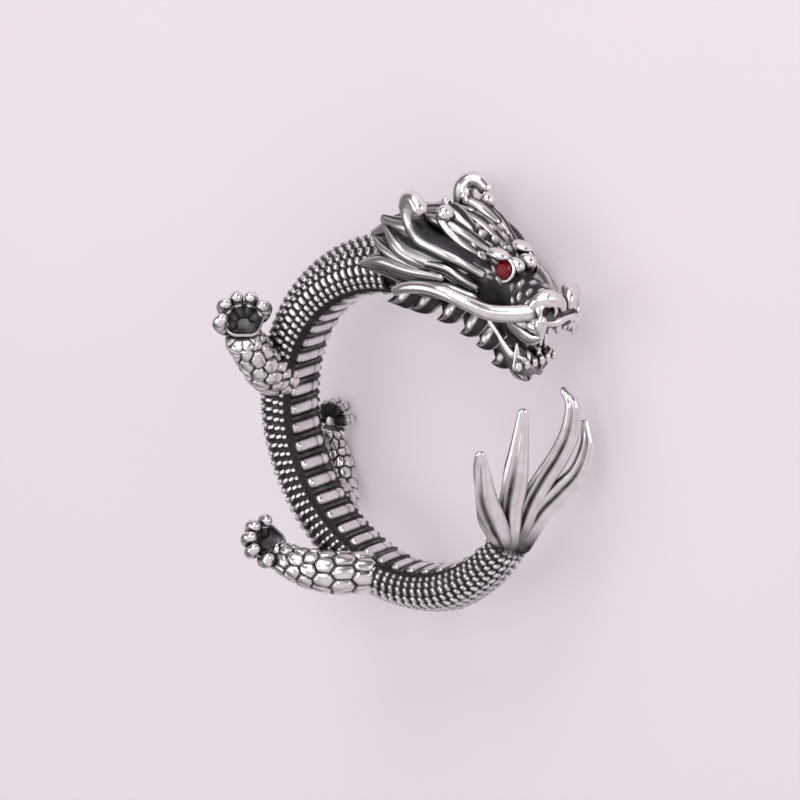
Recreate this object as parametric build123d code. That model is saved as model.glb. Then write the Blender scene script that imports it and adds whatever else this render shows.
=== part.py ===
from build123d import *
import math
import os

import numpy as np

# Open finger ring shaped as a dragon, cast in one piece, with two set eye stones.
# The origin is the centre of the finger hole, +Z is the finger axis and the ring
# lies on its -Z side. +X points to the gap between head and tail, +Y to the head.
# All sizes are in millimetres and all angles in degrees.

# The finger hole and the scaled body
BORE_RADIUS = 9.5
BODY_DEPTH = 3.2
BODY_WIDTH = 4.2
BODY_START = 93.8
PLATE_PITCH = 7.71
PLATE_COUNT = 30
PLATE_HEIGHT = 0.3
BORE_CUT = 0.06
SCALE_HEIGHT = 0.22
SCUTE_HEIGHT = 0.3

# The head
HEAD_LENGTH = 17.0
HEAD_HEIGHT = 7.0
HEAD_WIDTH = 6.0
NECK_BACK = 2.5
HORN_THICKNESS = 0.62
ANTLER_THICKNESS = 0.4
WHISKER_THICKNESS = 0.42
WHISKER_CLEARANCE = 1.78
LOCK_WIDTH = 0.75
BEARD_WIDTH = 0.78
NOSE_RADIUS = 0.95
NOSTRIL_RADIUS = 0.28
NOSTRIL_DEPTH = 0.6
BROW_RADIUS = 0.68
FANG_LENGTH = 1.1
TOOTH_WIDTH = 0.22

# The eyes
STONE_RADIUS = 0.62
STONE_DEPTH = 0.9
STONE_GAP = 0.05
BEZEL_WALL = 0.2
BEZEL_RISE = 0.12

# The tail
TAIL_LENGTH = 12.0
TAIL_SPREAD = 4.4
BLADE_WIDTH = 0.85

# The legs
LEG_REACH = 7.5
LEG_THICKNESS = 1.3
NEAR_REACH = 5.2
PAW_RADIUS = 1.75
TOE_THICKNESS = 0.42

# The whiskers stand clear of the head, and the far one lies at this depth with two far paws
WHISKER_REACH = 0.5 * HEAD_WIDTH + WHISKER_CLEARANCE
REST_DEPTH = WHISKER_REACH + WHISKER_THICKNESS

# Body outline, head end to tail end: depth and width as shares of BODY_DEPTH and BODY_WIDTH
BODY_ROWS = [
    # along, depth, width
    (0.00, 1.22, 1.00),
    (0.12, 1.14, 1.00),
    (0.30, 1.04, 1.00),
    (0.50, 0.95, 0.98),
    (0.70, 0.95, 0.95),
    (0.85, 0.92, 0.86),
    (1.00, 0.72, 0.66),
]

# Places around half of the body section, from the back (0) to the belly (1)
SECTION_PLACES = (0.0, 0.12, 0.18, 0.24, 0.30, 0.36, 0.42, 0.48, 0.54, 0.60, 0.66, 0.72, 0.8, 1.0)
BELLY_EDGE = 0.75
# Below 1 this squares the belly's two corners
BELLY_SQUARE = 0.6
# Sections along each plate, from groove to groove
STATION_PLACES = (0.0, 0.28, 0.72)

# Sections of strands: how far each corner lies from the middle
ROUND = (1,) * 8
SLIM = (1,) * 6
RIDGED = (1, 0.8, 1.15, 0.8, 1, 0.8, 1.15, 0.8)
SCALED = (1.06, 0.9) * 5


def spline(rows, count):
    """Rows of a table, read smoothly at count even steps."""
    rows = np.array(rows, float)
    padded = np.vstack([2 * rows[0] - rows[1], rows, 2 * rows[-1] - rows[-2]])
    out = []
    for t in np.linspace(0, len(rows) - 1, count):
        i = min(int(t), len(rows) - 2)
        f = t - i
        a, b, c, d = padded[i:i + 4]
        out.append(0.5 * (2 * b + (c - a) * f + (2 * a - 5 * b + 4 * c - d) * f ** 2
                          + (3 * b - a - 3 * c + d) * f ** 3))
    return np.array(out)


def unit(v):
    v = np.array(v, float)
    return v / np.linalg.norm(v)


def polar(radius, angle, z=0.0):
    a = math.radians(angle)
    return np.array([radius * math.cos(a), radius * math.sin(a), z])


def closed_mesh(rings, start=None, end=None):
    """Points and outward triangles of a closed skin over rings of points."""
    rings = [np.array(ring, float) for ring in rings]
    sides = len(rings[0])
    points = np.vstack(rings)
    start = rings[0].mean(axis=0) if start is None else start
    end = rings[-1].mean(axis=0) if end is None else end
    points = np.vstack([points, start, end])
    first, last = len(points) - 2, len(points) - 1
    faces = []
    for r in range(len(rings) - 1):
        for i in range(sides):
            j = (i + 1) % sides
            a, b = r * sides + i, r * sides + j
            c, d = a + sides, b + sides
            faces += [(a, b, d), (a, d, c)]
    top = (len(rings) - 1) * sides
    for i in range(sides):
        j = (i + 1) % sides
        faces += [(j, i, first), (top + i, top + j, last)]
    faces = np.array(faces)
    a, b, c = points[faces[:, 0]], points[faces[:, 1]], points[faces[:, 2]]
    if np.einsum("ij,ij->i", a, np.cross(b, c)).sum() < 0:
        faces = faces[:, ::-1]
    return points, faces


def strand(path, wide, thick, facing, profile=ROUND, tip=0.6, shift=0):
    """Bar of oval section along a path; facing is the way that its flat side looks.

    The profile's corners move on by shift at each ring, so that a wavy one makes scales.
    """
    path = np.array(path, float)
    heading = np.gradient(path, axis=0)
    turns = np.arange(len(profile)) * 2 * math.pi / len(profile)
    rings = []
    for step, (p, t, w, h) in enumerate(zip(path, heading, wide, thick)):
        corners = zip(turns, np.roll(profile, step * shift))
        t = unit(t)
        side = unit(np.cross(facing, t))
        up = np.cross(t, side)
        rings.append([p + m * (side * w * math.cos(q) + up * h * math.sin(q)) for q, m in corners])
    start = path[0] - unit(heading[0]) * thick[0] * tip
    end = path[-1] + unit(heading[-1]) * thick[-1] * tip
    return closed_mesh(rings, start, end)


def ball(centre, radius, stretch=(1, 1, 1), sides=8, rows=4):
    rings = []
    for k in range(1, rows):
        a = math.pi * k / rows
        ring = []
        for i in range(sides):
            b = 2 * math.pi * (i + 0.5 * k) / sides
            p = np.array([math.sin(a) * math.cos(b), math.sin(a) * math.sin(b), math.cos(a)])
            ring.append(centre + radius * p * stretch)
        rings.append(ring)
    pole = np.array([0, 0, radius]) * stretch
    return closed_mesh(rings, centre + pole, centre - pole)


def mirrored(mesh):
    points, faces = mesh
    return points * (1, 1, -1), faces[:, ::-1]


def body_mesh():
    """The scaled body: plates on the finger side, rows of scales and a row of scutes on the back."""
    stations = len(STATION_PLACES)
    steps = PLATE_COUNT * stations
    outline = np.array(BODY_ROWS)
    places = list(SECTION_PLACES) + [2 - v for v in SECTION_PLACES[-2:0:-1]]
    rings = []
    for s in range(steps + 1):
        plates = s // stations + STATION_PLACES[s % stations]
        along = plates / PLATE_COUNT
        depth = BODY_DEPTH * np.interp(along, outline[:, 0], outline[:, 1])
        half = 0.5 * BODY_WIDTH * np.interp(along, outline[:, 0], outline[:, 2])
        angle = BODY_START + PLATE_PITCH * plates
        ring = []
        for k, v in enumerate(places):
            from_back = min(v, 2 - v)
            a = math.pi * v
            c, z = math.cos(a), math.sin(a)
            if from_back > 0.5:
                z = math.copysign(abs(z) ** BELLY_SQUARE, z)
            rise = 0.0
            if from_back > BELLY_EDGE:
                rise = -PLATE_HEIGHT if s % stations == 0 else BORE_CUT
                c = -abs(c) ** 0.5
            elif k % 2 == 0 and (s + k // 2) % 2 == 0:
                rise = SCUTE_HEIGHT if k == 0 else SCALE_HEIGHT
            elif k == 0:
                rise = 0.25 * SCUTE_HEIGHT
            radius = BORE_RADIUS + depth * (0.5 + 0.5 * c) + rise * c
            ring.append(polar(radius, angle, (half + rise) * z))
        rings.append(ring)
    return closed_mesh(rings)


def head_point(along, up, side):
    """A place on the head: shares of its length, height and half width, from the neck."""
    neck = BORE_RADIUS + 0.6 * BODY_DEPTH
    return np.array([HEAD_LENGTH * along - NECK_BACK, neck + HEAD_HEIGHT * up, 0.5 * HEAD_WIDTH * side])


# Skull and upper jaw, neck to nose
SKULL_ROWS = [
    # along, top, bottom, half width, place of the widest line
    (0.06, 0.34, -0.22, 0.68, 0.5),
    (0.16, 0.45, -0.21, 0.84, 0.5),
    (0.28, 0.55, -0.18, 0.94, 0.5),
    (0.42, 0.63, -0.17, 0.96, 0.5),
    (0.54, 0.60, -0.18, 0.94, 0.5),
    (0.62, 0.48, -0.17, 0.78, 0.5),
    (0.68, 0.35, -0.16, 0.60, 0.5),
    (0.74, 0.20, -0.20, 0.58, 0.4),
    (0.82, 0.08, -0.27, 0.66, 0.4),
    (0.89, 0.05, -0.26, 0.66, 0.4),
    (0.945, -0.04, -0.20, 0.40, 0.4),
]
SKULL_CORNERS = 12
SKULL_STEPS = 16


def skull_mesh():
    rings = []
    for along, top, bottom, half, widest in spline(SKULL_ROWS, SKULL_STEPS):
        ring = []
        middle = bottom + (top - bottom) * widest
        for k in range(SKULL_CORNERS):
            a = 2 * math.pi * k / SKULL_CORNERS
            c = math.cos(a)
            y = middle + ((top - middle) if c > 0 else (middle - bottom)) * c
            ring.append(head_point(along, y, half * math.sin(a)))
        rings.append(ring)
    return closed_mesh(rings)


# Lower jaw: a tray from throat to lip
JAW_ROWS = [
    # along, up, half width, wall height
    (0.42, -0.12, 0.62, 0.10),
    (0.54, -0.20, 0.64, 0.12),
    (0.62, -0.34, 0.62, 0.12),
    (0.68, -0.50, 0.60, 0.12),
    (0.735, -0.62, 0.60, 0.13),
    (0.79, -0.665, 0.50, 0.12),
]
JAW_SECTION = (
    # across, up
    (-0.95, 1.0), (-0.65, 0.9), (-0.5, 0.1), (0.0, -0.05), (0.5, 0.1), (0.65, 0.9),
    (0.95, 1.0), (1.0, 0.0), (0.7, -0.7), (0.0, -0.95), (-0.7, -0.7), (-1.0, 0.0),
)
JAW_STEPS = 9
LIP_RISE = 0.35


def jaw_mesh():
    rows = spline(JAW_ROWS, JAW_STEPS)
    middle = np.array([head_point(along, up, 0) for along, up, _, _ in rows])
    heading = np.gradient(middle, axis=0)
    rings = []
    for here, way, (_, _, half, wall) in zip(middle, heading, rows):
        normal = unit(np.cross((0, 0, 1), way))
        wide = 0.5 * HEAD_WIDTH * half
        high = HEAD_HEIGHT * wall
        rings.append([here + normal * high * up + (0, 0, wide * across) for across, up in JAW_SECTION])
    ends = []
    for k, way in ((0, -1), (-1, 1)):
        floor = rings[k][3] - 0.5 * (rings[k][3] - rings[k][9])
        ends.append(floor + way * LIP_RISE * unit(heading[k]))
    return closed_mesh(rings, *ends)


# Strands of the head, each mirrored to the far side; thick is a share of that kind's size
HORN_ROWS = [
    # along, up, side, thick
    (0.63, 0.26, 0.60, 0.8),
    (0.55, 0.35, 0.88, 1.1),
    (0.46, 0.42, 1.00, 1.25),
    (0.37, 0.47, 0.98, 1.3),
    (0.31, 0.56, 0.90, 1.25),
    (0.285, 0.67, 0.90, 1.15),
    (0.278, 0.77, 0.95, 1.1),
    (0.298, 0.835, 1.03, 1.0),
    (0.335, 0.84, 1.10, 0.9),
    (0.363, 0.785, 1.14, 0.9),
]
ANTLER_ROWS = [
    (0.62, 0.30, 0.46, 1.1),
    (0.57, 0.39, 0.60, 1.2),
    (0.51, 0.49, 0.71, 1.2),
    (0.46, 0.58, 0.73, 1.15),
    (0.425, 0.67, 0.73, 1.2),
    (0.435, 0.73, 0.73, 1.4),
]
WHISKER_ROWS = [
    (0.89, -0.04, 0.30, 1.3),
    (0.80, -0.08, 0.50, 1.45),
    (0.72, -0.07, 0.70, 1.35),
    (0.64, 0.01, 0.86, 1.2),
    (0.55, 0.08, 0.96, 1.1),
    (0.46, 0.09, 0.99, 1.0),
    (0.37, 0.05, 1.00, 0.95),
    (0.31, -0.01, 0.98, 0.8),
]
LOCKS = {
    # along, up, side, width
    "ear": [(0.60, 0.06, 0.78, 0.5), (0.53, 0.16, 0.93, 0.6), (0.46, 0.22, 1.0, 0.5), (0.41, 0.23, 1.1, 0.4)],
    "cheek": [(0.56, 0.24, 0.86, 0.9), (0.40, 0.28, 0.94, 1.4), (0.28, 0.33, 0.94, 1.4), (0.175, 0.45, 0.84, 0.45)],
    "neck": [(0.44, 0.11, 0.90, 0.9), (0.29, 0.11, 0.95, 1.2), (0.16, 0.13, 0.96, 1.0), (0.04, 0.07, 0.97, 0.35)],
    "throat": [(0.44, 0.0, 0.72, 0.8), (0.33, -0.06, 0.72, 0.95), (0.20, -0.11, 0.62, 0.8), (0.10, -0.16, 0.45, 0.3)],
}
BEARD_ROWS = [
    # root along, root up, tip along, tip up, side
    (0.26, -0.07, 0.15, -0.29, 0.75),
    (0.365, -0.07, 0.275, -0.29, 0.76),
    (0.49, -0.10, 0.42, -0.33, 0.76),
    (0.59, -0.19, 0.53, -0.42, 0.70),
    (0.65, -0.34, 0.60, -0.51, 0.62),
    (0.71, -0.52, 0.66, -0.67, 0.50),
]
CREST_ROWS = [(0.62, 0.40, 0.0, 0.8), (0.50, 0.56, 0.0, 1.0), (0.38, 0.62, 0.0, 0.9), (0.33, 0.70, 0.0, 0.5)]
CHIN_ROWS = [(0.69, -0.62, 0.0, 0.9), (0.73, -0.72, 0.0, 0.95), (0.745, -0.80, 0.0, 0.6)]
NOSE_PLACE = (0.89, -0.03, 0.36)
NOSTRIL_PLACE = (0.93, -0.03, 0.50)
NOSTRIL_HEADING = (0.75, -0.15, 0.65)
BROW_PLACE = (0.66, 0.375, 0.40)
EYE_PLACE = (0.69, 0.265, 0.44)
EYE_HEADING = (0.18, 0.28, 0.94)
LIP_PLACES = [(0.81, -0.18, 0.60), (0.87, -0.19, 0.58)]
FANG_PLACES = [
    # along, up, side, length share, pointing up (1) or down (-1)
    (0.90, -0.22, 0.56, 1.0, -1),
    (0.935, -0.20, 0.20, 0.5, -1),
    (0.77, -0.56, 0.50, 1.0, 1),
    (0.785, -0.61, 0.18, 0.6, 1),
]


def head_strand(rows, size, count, profile=ROUND, flat=1.0, spread=0.5 * HEAD_WIDTH):
    rows = spline(rows, count)
    path = [head_point(along, up, 0) + (0, 0, spread * side) for along, up, side, _ in rows]
    wide = size * rows[:, 3]
    return strand(path, wide, wide * flat, (0.0, 0.0, 1.0), profile)


def fang_mesh(along, up, side, length, way):
    root = head_point(along, up, side)
    reach = np.array([0.25, way, 0.0]) * FANG_LENGTH * length
    path = [root + reach * step for step in (-0.6, 0.3, 0.9)]
    wide = TOOTH_WIDTH * np.array([1.1, 1.0, 0.35])
    return strand(path, wide, wide, (0.0, 0.0, 1.0), SLIM)


def head_meshes():
    """Skull, jaw and every strand of the head, both sides."""
    near = []
    near.append(head_strand(HORN_ROWS, HORN_THICKNESS, 12))
    near.append(head_strand(ANTLER_ROWS, ANTLER_THICKNESS, 10, SLIM))
    near.append(head_strand(WHISKER_ROWS, WHISKER_THICKNESS, 12, spread=WHISKER_REACH))
    for rows in LOCKS.values():
        near.append(head_strand(rows, LOCK_WIDTH, 8, RIDGED, flat=0.6))
    for root_along, root_up, tip_along, tip_up, side in BEARD_ROWS:
        rows = [
            (root_along, root_up, side * 0.7, 0.9),
            (0.75 * root_along + 0.25 * tip_along, 0.45 * root_up + 0.55 * tip_up, side, 1.0),
            (0.35 * root_along + 0.65 * tip_along, 0.1 * root_up + 0.9 * tip_up, side * 1.02, 0.75),
            (tip_along, tip_up, side * 1.02, 0.15),
        ]
        near.append(head_strand(rows, BEARD_WIDTH, 5, SLIM, flat=0.5))
    near.append(ball(head_point(*NOSE_PLACE), NOSE_RADIUS))
    near.append(ball(head_point(*BROW_PLACE), BROW_RADIUS, (1.3, 0.7, 1.0)))
    for place in LIP_PLACES:
        near.append(ball(head_point(*place), 0.6 * NOSE_RADIUS, (1.45, 0.9, 0.8)))
    for place in FANG_PLACES:
        near.append(fang_mesh(*place))
    middle = [
        head_strand(CREST_ROWS, LOCK_WIDTH, 8, RIDGED),
        head_strand(CHIN_ROWS, LOCK_WIDTH, 6, SLIM),
    ]
    return [skull_mesh(), jaw_mesh()] + middle + near + [mirrored(m) for m in near]


# Tail blades, root to tip: shares of TAIL_LENGTH from the tail's root and of TAIL_SPREAD across
BLADES = {
    "near": [
        # along, up, side, width
        (0.00, -0.03, 0.08, 0.8),
        (0.03, 0.18, 0.50, 1.1),
        (0.05, 0.33, 0.75, 1.05),
        (0.08, 0.48, 0.91, 0.8),
        (0.10, 0.62, 1.00, 0.42),
    ],
    "middle": [
        (0.01, -0.04, 0.03, 0.9),
        (0.04, 0.20, 0.14, 1.1),
        (0.09, 0.39, 0.18, 1.1),
        (0.13, 0.58, 0.20, 0.8),
        (0.16, 0.81, 0.20, 0.42),
    ],
    "far": [
        (0.04, -0.02, -0.05, 0.9),
        (0.09, 0.21, -0.18, 1.0),
        (0.15, 0.36, -0.30, 0.9),
        (0.24, 0.52, -0.39, 0.85),
        (0.30, 0.67, -0.45, 0.8),
        (0.31, 0.82, -0.47, 0.6),
        (0.24, 0.90, -0.48, 0.3),
    ],
    "rear": [
        (0.06, -0.02, -0.10, 0.8),
        (0.14, 0.17, -0.30, 0.9),
        (0.23, 0.30, -0.50, 0.95),
        (0.31, 0.42, -0.64, 0.8),
        (0.34, 0.57, -0.73, 0.6),
        (0.31, 0.70, -0.77, 0.3),
    ],
}


def tail_point(along, up, side):
    angle = BODY_START + PLATE_PITCH * PLATE_COUNT
    root = polar(BORE_RADIUS + 0.5 * BODY_DEPTH * BODY_ROWS[-1][1], angle)
    return root + np.array([TAIL_LENGTH * along, TAIL_LENGTH * up, TAIL_SPREAD * side])


def tail_meshes():
    meshes = []
    for rows in BLADES.values():
        rows = spline(rows, 12)
        path = [tail_point(*row[:3]) for row in rows]
        wide = BLADE_WIDTH * rows[:, 3]
        meshes.append(strand(path, wide, 0.7 * wide, (0.6, 0.0, 0.8), RIDGED, tip=1.5))
    return meshes


# Legs: the hip's angle on the ring and side (1 near, -1 far); the route from hip to palm in shares
# of LEG_REACH outward and ahead along the ring, and across in shares of how far that side reaches;
# then where the paw points and where its palm looks, as outward, ahead, across
LEGS = {
    "near_fore": {
        "hip": 168.0,
        "side": 1,
        "paw": 1.0,
        "route": [
            # outward, ahead, across, thickness
            (0.00, -0.12, 0.10, 1.0),
            (0.06, -0.02, 0.36, 1.15),
            (0.11, 0.14, 0.58, 1.1),
            (0.16, 0.33, 0.80, 0.95),
            (0.15, 0.45, 0.90, 0.9),
        ],
        "points": (0.63, 0.51, -0.59),
        "palm": (-0.24, 0.84, 0.47),
    },
    "near_hind": {
        "hip": 253.0,
        "side": 1,
        "paw": 0.9,
        "route": [
            (0.00, -0.08, 0.15, 1.0),
            (0.08, 0.16, 0.50, 1.1),
            (0.12, 0.39, 0.70, 0.98),
            (0.11, 0.58, 0.80, 0.8),
            (0.05, 0.71, 0.83, 0.7),
        ],
        "points": (-0.25, 0.72, 0.60),
        "palm": (-0.80, -0.30, 0.50),
    },
    "far_fore": {
        "hip": 222.0,
        "side": -1,
        "paw": 0.72,
        "route": [
            (0.03, -0.02, 0.25, 1.0),
            (0.14, 0.05, 0.60, 1.0),
            (0.11, 0.28, 0.78, 0.8),
            (0.00, 0.49, 0.84, 0.6),
            (-0.14, 0.62, 0.815, 0.6),
        ],
        "points": (-0.3, 0.95, 0.0),
        "palm": (0.1, 0.0, 1.0),
    },
    "far_hind": {
        "hip": 260.0,
        "side": -1,
        "paw": 0.8,
        "route": [
            (0.04, 0.03, 0.15, 0.8),
            (0.09, 0.02, 0.36, 0.85),
            (0.14, -0.02, 0.56, 0.8),
            (0.15, -0.05, 0.78, 0.7),
        ],
        "points": (0.95, -0.2, 0.2),
        "palm": (0.0, 0.0, 1.0),
    },
}
TOE_FAN = (-105, -55, -18, 18, 60)
TOE_ROUTE = (
    # out from the palm, up from the palm, thickness
    (0.50, -0.28, 1.2),
    (0.80, -0.18, 1.15),
    (0.97, 0.10, 1.0),
    (0.92, 0.36, 1.0),
)


def leg_meshes(name):
    leg = LEGS[name]
    across = leg["side"] * (NEAR_REACH if leg["side"] > 0 else REST_DEPTH)
    axes = np.array([polar(1, leg["hip"]), polar(1, leg["hip"] - 90), (0, 0, leg["side"])])
    hip = polar(BORE_RADIUS + 0.45 * BODY_DEPTH, leg["hip"])
    rows = spline(leg["route"], 8)
    path = [hip + LEG_REACH * (out * axes[0] + ahead * axes[1]) + (0, 0, across * z)
            for out, ahead, z, _ in rows]
    wide = LEG_THICKNESS * rows[:, 3]
    points = unit(np.array(leg["points"]) @ axes)
    palm = np.array(leg["palm"]) @ axes
    palm = unit(palm - points * (palm @ points))
    span = np.cross(points, palm)
    paw = PAW_RADIUS * leg["paw"]
    centre = path[-1] + points * 0.5 * paw
    meshes = [strand(path, wide, wide, (0.3, 0.3, 0.9), SCALED, shift=1)]
    meshes.append(strand(
        [centre + palm * paw * up for up in (-0.5, -0.3, -0.05)],
        paw * np.array([0.45, 0.72, 0.7]), paw * np.array([0.45, 0.72, 0.7]), points))
    for turn in TOE_FAN:
        way = math.cos(math.radians(turn)) * points + math.sin(math.radians(turn)) * span
        toe = spline(TOE_ROUTE, 5)
        route = [centre + paw * (out * way + up * palm) for out, up, _ in toe]
        thick = TOE_THICKNESS * leg["paw"] * toe[:, 2]
        meshes.append(strand(route, thick, thick, np.cross(way, palm), SLIM))
    return meshes


def solid_of(mesh):
    points, faces = mesh
    corners = [Vector(*p) for p in points]
    skin = [Face(Wire.make_polygon([corners[i] for i in face], close=True)) for face in faces]
    return Solid(Shell(skin))


def rod(place, heading, radius, below, above):
    """Round bar on an axis, from below its place to above it."""
    plane = Plane(origin=tuple(place), z_dir=tuple(heading))
    return plane * Pos(0, 0, 0.5 * (above - below)) * Cylinder(radius, above + below)


def both_sides(place, heading):
    """A place and its heading, then the same two on the far side."""
    flip = np.array([1, 1, -1])
    return [(place, unit(heading)), (place * flip, unit(heading) * flip)]


# Stone rings, table to girdle: radius share, height share, turn in facets
STONE_ROWS = [(0.60, 0.28, 0.5), (1.00, 0.05, 0.0), (1.00, -0.05, 0.0)]
STONE_BACK = 0.72
STONE_FACETS = 8


def stone_mesh(place, heading):
    """Cut stone: a table, eight main facets with eight between them, and a pointed back."""
    heading = unit(heading)
    side = unit(np.cross((0, 1, 0), heading))
    up = np.cross(heading, side)
    rings = []
    for share, high, turn in STONE_ROWS:
        turns = (np.arange(STONE_FACETS) + turn) * 2 * math.pi / STONE_FACETS
        rings.append([place + STONE_RADIUS * share * (side * math.cos(q) + up * math.sin(q))
                      + heading * STONE_DEPTH * high for q in turns])
    table = place + heading * STONE_DEPTH * STONE_ROWS[0][1]
    return closed_mesh(rings, table, place - heading * STONE_DEPTH * STONE_BACK)


def main():
    eye = head_point(*EYE_PLACE)
    nostril = head_point(*NOSTRIL_PLACE)
    seat = STONE_RADIUS + STONE_GAP
    head = [solid_of(mesh) for mesh in head_meshes()]
    for place, heading in both_sides(eye, EYE_HEADING):
        head.append(rod(place, heading, seat + BEZEL_WALL, STONE_DEPTH, BEZEL_RISE))
    limbs = [solid_of(mesh) for name in LEGS for mesh in leg_meshes(name)]
    limbs += [solid_of(mesh) for mesh in tail_meshes()]
    hollows = [Cylinder(BORE_RADIUS, 4 * REST_DEPTH)]
    for place, heading in both_sides(eye, EYE_HEADING):
        hollows.append(rod(place, heading, seat, STONE_DEPTH * STONE_BACK + STONE_GAP, STONE_DEPTH))
    for place, heading in both_sides(nostril, NOSTRIL_HEADING):
        hollows.append(rod(place, heading, NOSTRIL_RADIUS, NOSTRIL_DEPTH, NOSE_RADIUS))
    band = solid_of(body_mesh()).fuse(*limbs).fuse(head[0].fuse(*head[1:])).cut(*hollows)
    os.makedirs("parts", exist_ok=True)
    export_step(band, "parts/dragon_band.step")
    for name, (place, heading) in zip(("right", "left"), both_sides(eye, EYE_HEADING)):
        export_step(solid_of(stone_mesh(place, heading)), f"parts/eye_stone_{name}.step")


if __name__ == "__main__":
    main()
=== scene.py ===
import math

import bpy
import numpy as np
from mathutils import Matrix, Vector


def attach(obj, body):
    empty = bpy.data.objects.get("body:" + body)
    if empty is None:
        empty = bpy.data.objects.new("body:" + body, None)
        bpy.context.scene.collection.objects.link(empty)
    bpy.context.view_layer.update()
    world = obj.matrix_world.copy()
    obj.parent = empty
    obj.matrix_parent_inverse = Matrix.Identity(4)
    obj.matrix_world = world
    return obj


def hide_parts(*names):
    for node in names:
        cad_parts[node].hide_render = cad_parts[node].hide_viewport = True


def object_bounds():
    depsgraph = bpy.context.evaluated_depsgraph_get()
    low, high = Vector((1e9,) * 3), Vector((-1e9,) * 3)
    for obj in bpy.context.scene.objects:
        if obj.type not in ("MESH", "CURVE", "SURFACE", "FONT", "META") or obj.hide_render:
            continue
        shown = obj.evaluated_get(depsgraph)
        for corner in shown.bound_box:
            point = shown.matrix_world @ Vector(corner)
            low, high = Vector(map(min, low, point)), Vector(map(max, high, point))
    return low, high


# Looks of the dragon ring: fine relief over the cast band, oxidised silver and two red stones.
# Lengths are millimetres in the CAD frame until a mesh is made, and angles are degrees.
# Every skin carries its share of oxide: 0 is polished silver and 1 is dark.

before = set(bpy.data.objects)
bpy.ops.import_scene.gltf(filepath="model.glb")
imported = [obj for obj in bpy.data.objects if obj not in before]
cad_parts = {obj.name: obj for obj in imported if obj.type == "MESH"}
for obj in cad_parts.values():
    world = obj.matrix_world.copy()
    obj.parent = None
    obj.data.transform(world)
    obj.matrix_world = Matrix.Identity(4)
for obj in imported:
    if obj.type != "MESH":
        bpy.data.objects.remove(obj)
cad_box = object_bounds()
MM = 0.001

# The finger hole and the scaled body. Places round the body are half turns from its back.
BORE_RADIUS = 9.5
BODY_DEPTH = 3.2
BODY_WIDTH = 4.2
BODY_START = 93.8
BODY_SIDES = 144
# Below 1 this squares the belly's two corners
BELLY_SQUARE = 0.6
BELLY_EDGE = (0.72, 0.78)
PLATE_PITCH = 7.71
PLATE_COUNT = 30
PLATE_STEPS = 40
PLATE_GROOVE = 0.3
# Half a plate, as a share of the pitch and of the half turn
PLATE_HALF_LONG = 0.41
PLATE_HALF_WIDE = 0.235
PLATE_SLOPE = (1.06, 0.30)
SEAM_PLACE = 1.05
SEAM_WIDTH = 0.014
# The fine ridge in each groove, from the plate's middle
RIDGE_PLACE = 0.46
RIDGE_WIDTH = 0.03
SCALE_HEIGHT = 0.2
SCALE_SINK = 0.1
SCALE_SLOPE = (1.14, 0.72)
# Above 2 this squares the scales
SCALE_SQUARE = 3.2
SCALE_TILT = 0.6
SCALES_PER_PLATE = 2.3
ROW_STAGGER = 0.1
# Oxide is worn away between these shares of the relief's height
WORN = (0.25, 0.8)

# The head
HEAD_LENGTH = 17.0
HEAD_HEIGHT = 7.0
HEAD_WIDTH = 6.0
NECK_BACK = 2.5
HORN_THICKNESS = 0.62
ANTLER_THICKNESS = 0.4
ANTLER_KNOB = 0.58
CROWN_KNOB = 0.34
WHISKER_THICKNESS = 0.42
WHISKER_REACH = 4.78
LOCK_WIDTH = 0.75
BEARD_WIDTH = 0.78
NOSE_RADIUS = 0.95
BROW_RADIUS = 0.68
BRIDGE_RADIUS = 0.6
FANG_LENGTH = 1.1
TOOTH_WIDTH = 0.22
STONE_RADIUS = 0.62
STONE_GAP = 0.05
BEZEL_WALL = 0.2

# The tail and the legs
TAIL_LENGTH = 12.0
TAIL_SPREAD = 4.4
BLADE_WIDTH = 0.85
BLADE_FLATNESS = 0.7
LEG_REACH = 7.5
LEG_THICKNESS = 1.3
NEAR_REACH = 5.2
PAW_RADIUS = 1.75
TOE_THICKNESS = 0.46
REST_DEPTH = WHISKER_REACH + WHISKER_THICKNESS

# A tube's round ends have this many rings each
CAP_RINGS = 3
# No ball's axis has this direction
OFF_AXIS = (0.13, 0.97, 0.21)

BODY_ROWS = [
    # along, depth, width
    (0.00, 1.22, 1.00),
    (0.12, 1.14, 1.00),
    (0.30, 1.04, 1.00),
    (0.50, 0.95, 0.98),
    (0.70, 0.95, 0.95),
    (0.85, 0.92, 0.86),
    (1.00, 0.72, 0.66),
]
SCALE_ROWS = [
    # place, half height, half length in scales, slant, height
    (0.690, 0.032, 0.25, 0.00, 0.8),
    (0.605, 0.043, 0.25, 0.04, 0.9),
    (0.495, 0.060, 0.25, 0.06, 1.0),
    (0.385, 0.046, 0.25, 0.12, 1.1),
    (0.280, 0.049, 0.26, 0.16, 1.1),
    (0.180, 0.044, 0.29, 0.24, 1.1),
    (0.090, 0.036, 0.33, 0.28, 1.2),
    (0.000, 0.042, 0.36, 0.00, 1.5),
]


def spline(rows, count):
    """Rows of a table, read smoothly at count even steps."""
    rows = np.array(rows, float)
    padded = np.vstack([2 * rows[0] - rows[1], rows, 2 * rows[-1] - rows[-2]])
    out = []
    for t in np.linspace(0, len(rows) - 1, count):
        i = min(int(t), len(rows) - 2)
        f = t - i
        a, b, c, d = padded[i:i + 4]
        out.append(0.5 * (2 * b + (c - a) * f + (2 * a - 5 * b + 4 * c - d) * f ** 2
                          + (3 * b - a - 3 * c + d) * f ** 3))
    return np.array(out)


def unit(v):
    v = np.asarray(v, float)
    return v / np.maximum(np.linalg.norm(v, axis=-1, keepdims=True), 1e-12)


def polar(radius, angle, z=0.0):
    a = np.radians(angle)
    radius, z = radius + 0 * a, z + 0 * a
    return np.stack([radius * np.cos(a), radius * np.sin(a), z], axis=-1)


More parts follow.
